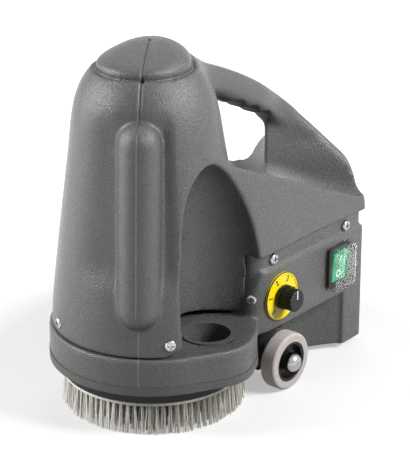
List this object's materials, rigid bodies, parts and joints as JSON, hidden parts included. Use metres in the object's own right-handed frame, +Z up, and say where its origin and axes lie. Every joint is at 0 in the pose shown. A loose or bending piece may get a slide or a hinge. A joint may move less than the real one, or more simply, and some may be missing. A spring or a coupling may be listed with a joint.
{
  "type": "stair cleaning machine",
  "caption": "Compact upright stair scrubber: moulded hood with loop handle and arched niche over a ledge socket, control box with speed dial and rocker switch, disc brush, side wheels.",
  "frame": {"origin": "bottom centre of the bounding box, on the floor the brush and wheels stand on", "axes": "+X towards the handle's rear end, -Y towards the control panel, +Z up"},
  "size_m": [0.3276, 0.1956, 0.3237],
  "materials": {
    "housing": "fine grain",
    "seal_rubber": "matte",
    "tyre": "matte",
    "black_plastic": "satin",
    "steel": "bright",
    "alloy": "cast",
    "copper": "wound",
    "scale_yellow": "printed",
    "rocker_green": "lit",
    "clear_cover": "clear",
    "board": "laminate",
    "bristle": "nylon"
  },
  "bodies": {
    "machine": {"hood": "housing", "base_housing": "housing", "skirt_seal": "seal_rubber", "socket_sleeve": "housing", "hood_screws": "steel", "gear_case": "alloy", "gear_case_screws": "steel", "motor_lower_bell": "alloy", "motor_casing": "steel", "motor_field": "copper", "motor_upper_bell": "alloy", "carbon_brushes": "black_plastic", "motor_bearing_lower": "steel", "motor_bearing_upper": "steel", "motor_screws": "steel", "spindle_bearing_upper": "steel", "spindle_bearing_lower": "steel", "scale_plate": "scale_yellow", "potentiometer": "black_plastic", "control_board": "board", "heat_sink": "alloy", "switch_frame": "black_plastic", "switch_body": "black_plastic", "switch_cover": "clear_cover", "cable_gland": "black_plastic", "gland_nut": "black_plastic", "suppressor": "alloy", "terminal_block": "black_plastic", "axle_right": "steel", "axle_cap_right": "steel", "axle_bracket_right": "steel", "bracket_screws_right": "steel", "axle_left": "steel", "axle_cap_left": "steel", "axle_bracket_left": "steel", "bracket_screws_left": "steel"},
    "brush": {"brush_spindle": "steel", "spindle_gear": "steel", "brush_hub": "alloy", "brush_block": "black_plastic", "brush_bristles": "bristle", "brush_bolt": "steel"},
    "rotor": {"motor_shaft": "steel", "armature": "copper", "commutator": "copper", "cooling_fan": "black_plastic", "drive_pinion": "steel"},
    "wheel_right": {"wheel_tyre_right": "tyre", "wheel_hub_right": "black_plastic", "wheel_bush_right": "alloy"},
    "wheel_left": {"wheel_tyre_left": "tyre", "wheel_hub_left": "black_plastic", "wheel_bush_left": "alloy"},
    "knob": {"speed_knob": "black_plastic", "pot_shaft": "steel"},
    "rocker": {"switch_rocker": "rocker_green"}
  },
  "joints": [
    {"name": "brush_spin", "type": "hinge", "parent": "machine", "child": "brush", "pos_m": [-0.0732, 0.0018, 0.04], "axis": [0, 0, 1], "continuous": true},
    {"name": "rotor_spin", "type": "hinge", "parent": "machine", "child": "rotor", "pos_m": [-0.09618, 0.02478, 0.13], "axis": [0, 0, 1], "continuous": true},
    {"name": "wheel_right_spin", "type": "hinge", "parent": "machine", "child": "wheel_right", "pos_m": [0.0103, -0.0787, 0.026], "axis": [0, 1, 0], "continuous": true},
    {"name": "wheel_left_spin", "type": "hinge", "parent": "machine", "child": "wheel_left", "pos_m": [0.0103, 0.0823, 0.026], "axis": [0, 1, 0], "continuous": true},
    {"name": "knob_turn", "type": "hinge", "parent": "machine", "child": "knob", "pos_m": [0.0098, -0.0742, 0.0865], "axis": [0, -1, 0], "range_deg": [-135, 135]},
    {"name": "rocker_tilt", "type": "hinge", "parent": "machine", "child": "rocker", "pos_m": [0.0921, -0.0742, 0.0892], "axis": [1, 0, 0], "range_deg": [-16, 0]}
  ],
  "couplings": [
    {"joint": "rotor_spin", "follows": "brush_spin", "ratio": -3.3333}
  ]
}
